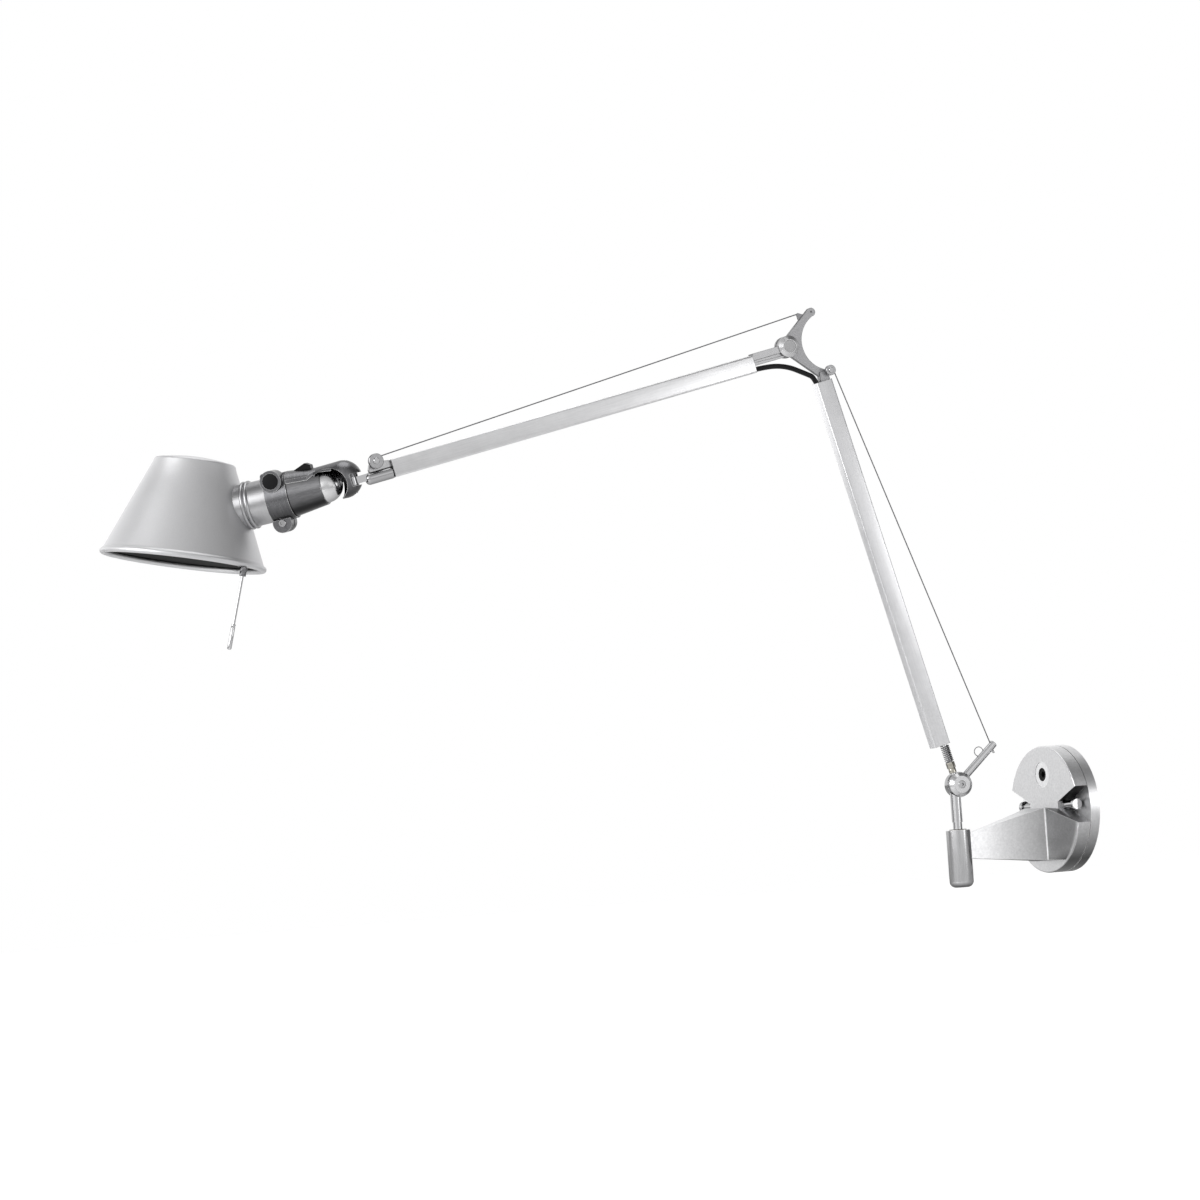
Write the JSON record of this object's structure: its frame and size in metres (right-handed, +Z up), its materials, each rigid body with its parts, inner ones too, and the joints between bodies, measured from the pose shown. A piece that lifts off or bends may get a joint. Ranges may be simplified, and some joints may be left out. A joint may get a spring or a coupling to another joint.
{
  "type": "articulating wall lamp",
  "caption": "Wall-mounted task lamp: hinged round wall plate, swivelling stem, two balanced square-tube arms, swivelling head and a tilted conical metal shade with a pull handle.",
  "frame": {"origin": "centre of the wall plate's rear face, which lies on the wall", "axes": "+X runs into the wall, +Z is up, and the lamp reaches out along -X"},
  "size_m": [1.0531, 0.3946, 0.6593],
  "materials": {
    "satin_disc": "turned and brushed, satin",
    "satin_bracket": "fine blasted and satin, polished on the socket",
    "polished_steel": "polished",
    "black_oxide": "black oxide, dull",
    "bearing_bush": "smooth",
    "wire_steel": "bare stranded wire and stamped tab",
    "screw_steel": "bright, slightly worn",
    "joint_disc": "turned, bright bevel",
    "pale_brass": "turned, nickel-washed",
    "spring_steel": "dark spring steel",
    "brushed_tube": "anodised, fine brushed along its length",
    "black_plug": "moulded",
    "cast_grey": "cast and blasted, mid grey",
    "wheel_metal": "turned",
    "fork_satin": "satin",
    "hub_cap": "turned, flat grey centre and bright bevel",
    "black_cable": "glossy black sheath",
    "mirror_chrome": "mirror polish",
    "head_metal": "satin, a shade darker than the arms",
    "black_button": "moulded, smooth",
    "black_grommet": "moulded",
    "holder_ceramic": "moulded",
    "shade_satin": "spun, satin outside and inside"
  },
  "bodies": {
    "wall_mount": {"wall_plate": "satin_disc"},
    "bracket": {"bracket_arm": "satin_bracket", "hinge_bolt": "polished_steel", "hinge_nut": "polished_steel", "levelling_screw": "black_oxide", "socket_bush": "bearing_bush"},
    "stem": {"stem": "polished_steel", "tension_lever": "polished_steel", "wire_eye": "wire_steel", "joint_screw": "screw_steel"},
    "lower_arm": {"rod_end": "joint_disc", "ferrule": "pale_brass", "base_spring": "spring_steel", "lower_tube": "brushed_tube", "lower_plug": "black_plug", "elbow_bracket": "cast_grey", "wire_roller": "wheel_metal", "roller_screw": "screw_steel", "wire_hook": "wire_steel", "lower_wire": "wire_steel"},
    "upper_arm": {"upper_fork": "fork_satin", "hub_cap_front": "hub_cap", "hub_cap_rear": "hub_cap", "hub_pin": "screw_steel", "upper_tube": "brushed_tube", "end_fitting": "fork_satin", "pulley": "wheel_metal", "pulley_screw": "screw_steel", "upper_wire": "wire_steel", "power_cable": "black_cable"},
    "swivel": {"swivel_neck": "mirror_chrome"},
    "head": {"head_pin": "screw_steel", "hood_bracket": "head_metal", "rear_dome": "mirror_chrome", "lamp_housing": "head_metal", "clamp_ring": "head_metal", "clamp_screw": "screw_steel", "clamp_nut": "screw_steel", "cable_inlet": "black_grommet", "lampholder": "holder_ceramic"},
    "button": {"push_button": "black_button"},
    "shade": {"shade": "shade_satin", "shade_neck": "shade_satin", "handle_rod": "polished_steel", "handle_grip": "polished_steel", "handle_nut": "screw_steel", "handle_locknut": "screw_steel"}
  },
  "joints": [
    {"name": "bracket_level", "type": "hinge", "parent": "wall_mount", "child": "bracket", "pos_m": [-0.0203, 0, 0.0039], "axis": [0, 1, 0], "range_deg": [-0.5, 0.5]},
    {"name": "stem_swivel", "type": "hinge", "parent": "bracket", "child": "stem", "pos_m": [-0.144, 0, 0], "axis": [0, 0, 1], "range_deg": [-90, 75]},
    {"name": "lower_joint", "type": "hinge", "parent": "stem", "child": "lower_arm", "pos_m": [-0.13857, -0.00086, 0.0348], "axis": [-0.1564, -0.9877, 0], "range_deg": [-20, 40], "deforming": ["lower_wire"]},
    {"name": "elbow_joint", "type": "hinge", "parent": "lower_arm", "child": "upper_arm", "pos_m": [-0.30453, 0.02542, 0.53593], "axis": [-0.1564, -0.9877, 0], "range_deg": [-55, 40], "deforming": ["upper_wire", "power_cable"]},
    {"name": "head_roll", "type": "hinge", "parent": "upper_arm", "child": "swivel", "pos_m": [-0.80945, 0.1054, 0.40654], "axis": [-0.9628, 0.1525, -0.2233], "range_deg": [-170, 170]},
    {"name": "head_pivot", "type": "hinge", "parent": "swivel", "child": "head", "pos_m": [-0.81029, 0.10553, 0.41024], "axis": [-0.2205, 0.0349, 0.9748], "range_deg": [-14, 76]},
    {"name": "button_press", "type": "slide", "parent": "head", "child": "button", "axis": [0.6299, 0.7681, 0.115], "range_m": [0, 0.0015], "stiffness_N_per_m": 600, "springref_m": -0.0004},
    {"name": "shade_turn", "type": "hinge", "parent": "head", "child": "shade", "pos_m": [-0.88145, 0.16598, 0.39637], "axis": [-0.7539, 0.6403, -0.1469], "range_deg": [-175, 175]}
  ]
}
